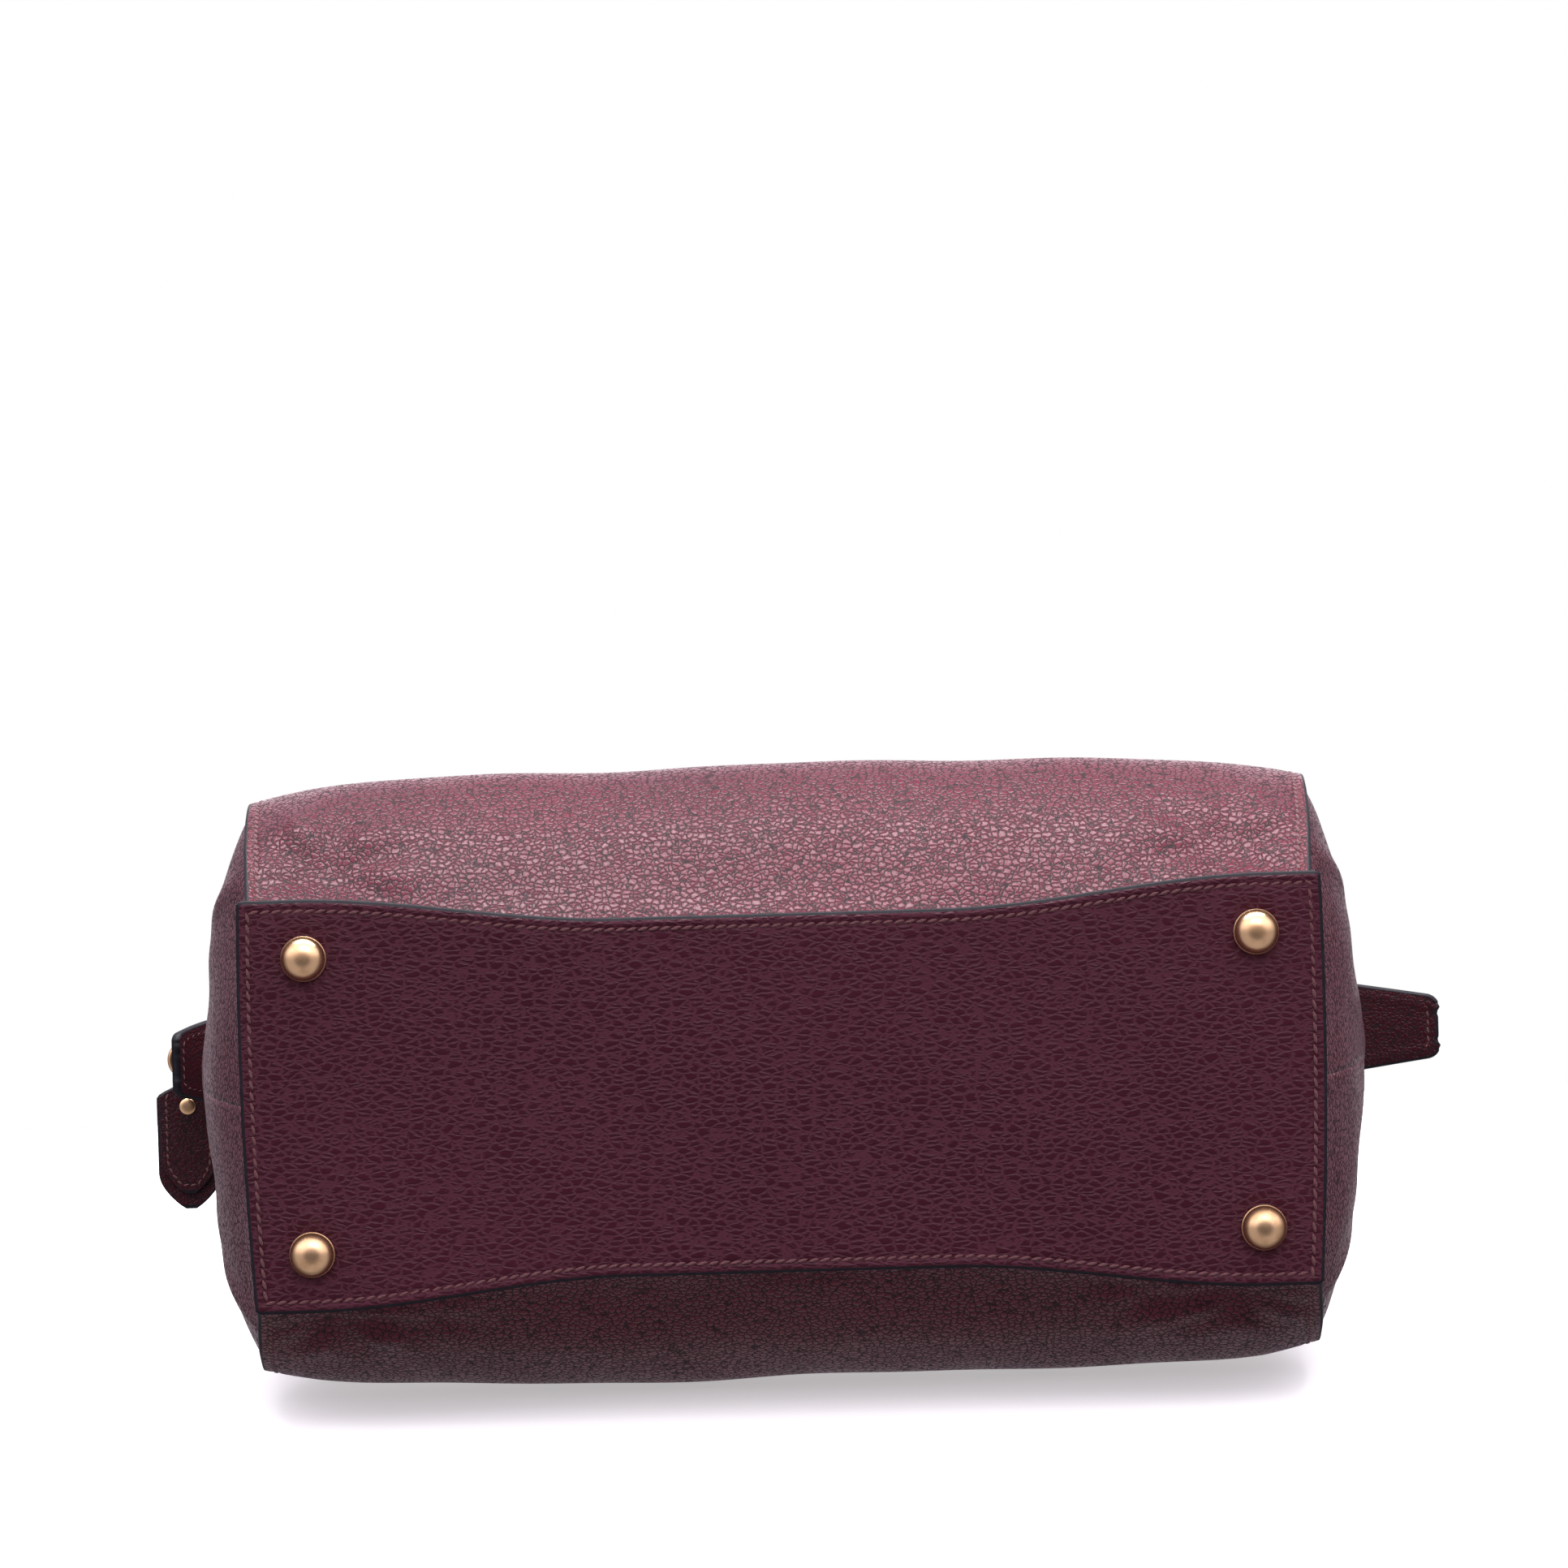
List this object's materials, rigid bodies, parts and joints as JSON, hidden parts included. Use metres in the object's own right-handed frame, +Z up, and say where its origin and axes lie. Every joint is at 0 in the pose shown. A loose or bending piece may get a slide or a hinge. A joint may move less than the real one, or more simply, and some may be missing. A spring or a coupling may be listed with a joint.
{
  "type": "doctor bag",
  "caption": "Leather doctor bag with a waisted flat base on dome feet, swelling sides, a zip top on a hinged steel frame, two rolled handles and a leather zip pull.",
  "frame": {"origin": "on the floor under the middle of the bag, which stands on its four feet", "axes": "+X along the bag's length towards the end without the zip pull, +Z up, the front faces -Y"},
  "size_m": [0.457, 0.196, 0.338],
  "materials": {
    "burgundy_leather": "pebbled, semi-gloss, black painted edges",
    "gold_hardware": "polished light gold plating",
    "zip_teeth_metal": "bright",
    "zip_tape_cloth": "dark herringbone tape",
    "lining_cloth": "plain suede-like cloth",
    "frame_steel": "brushed",
    "board": "pressed fibre board"
  },
  "bodies": {
    "bag_body": {"base_panel": "burgundy_leather", "base_board": "board", "front_panel": "burgundy_leather", "back_panel": "burgundy_leather", "left_gusset": "burgundy_leather", "right_gusset": "burgundy_leather", "lining": "lining_cloth", "inner_pocket": "lining_cloth", "feet": "gold_hardware", "foot_washers": "gold_hardware", "hinge_rivets": "gold_hardware", "zip_end_tapes": "zip_tape_cloth", "zip_end_teeth": "zip_teeth_metal", "left_zip_tab": "burgundy_leather", "right_zip_tab": "burgundy_leather", "front_chapes": "burgundy_leather", "back_chapes": "burgundy_leather", "front_chape_rivets": "gold_hardware", "back_chape_rivets": "gold_hardware"},
    "front_frame_half": {"front_frame": "frame_steel", "front_top_panel": "burgundy_leather", "front_facing": "lining_cloth", "front_zip_tape": "zip_tape_cloth", "front_zip_teeth": "zip_teeth_metal"},
    "back_frame_half": {"back_frame": "frame_steel", "back_top_panel": "burgundy_leather", "back_facing": "lining_cloth", "back_zip_tape": "zip_tape_cloth", "back_zip_teeth": "zip_teeth_metal"},
    "front_handle_set": {"front_handle": "burgundy_leather", "front_rings": "gold_hardware", "front_handle_rivets": "gold_hardware"},
    "back_handle_set": {"back_handle": "burgundy_leather", "back_rings": "gold_hardware", "back_handle_rivets": "gold_hardware"},
    "slider": {"zip_slider": "gold_hardware"},
    "loop": {"pull_loop": "gold_hardware"},
    "tag": {"pull_tag": "burgundy_leather", "pull_tag_rivet": "gold_hardware"}
  },
  "joints": [
    {"name": "front_frame_open", "type": "hinge", "parent": "bag_body", "child": "front_frame_half", "pos_m": [0, 0, 0.175], "axis": [1, 0, 0], "range_deg": [0, 50]},
    {"name": "back_frame_open", "type": "hinge", "parent": "bag_body", "child": "back_frame_half", "pos_m": [0, 0, 0.175], "axis": [-1, 0, 0], "range_deg": [0, 50]},
    {"name": "front_handle_swing", "type": "hinge", "parent": "bag_body", "child": "front_handle_set", "pos_m": [0, -0.07, 0.16], "axis": [1, 0, 0], "range_deg": [-12, 118]},
    {"name": "back_handle_swing", "type": "hinge", "parent": "bag_body", "child": "back_handle_set", "pos_m": [0, 0.07, 0.16], "axis": [-1, 0, 0], "range_deg": [-12, 118]},
    {"name": "zip_slide", "type": "slide", "parent": "bag_body", "child": "slider", "axis": [1, 0, 0], "range_m": [0, 0.383]},
    {"name": "pull_loop_flip", "type": "hinge", "parent": "slider", "child": "loop", "pos_m": [-0.1941, 0, 0.2412], "axis": [0, 1, 0], "range_deg": [0, 160]},
    {"name": "pull_tag_swing", "type": "hinge", "parent": "loop", "child": "tag", "pos_m": [-0.2166, 0, 0.2412], "axis": [0, 0, 1], "range_deg": [0, 180]}
  ]
}
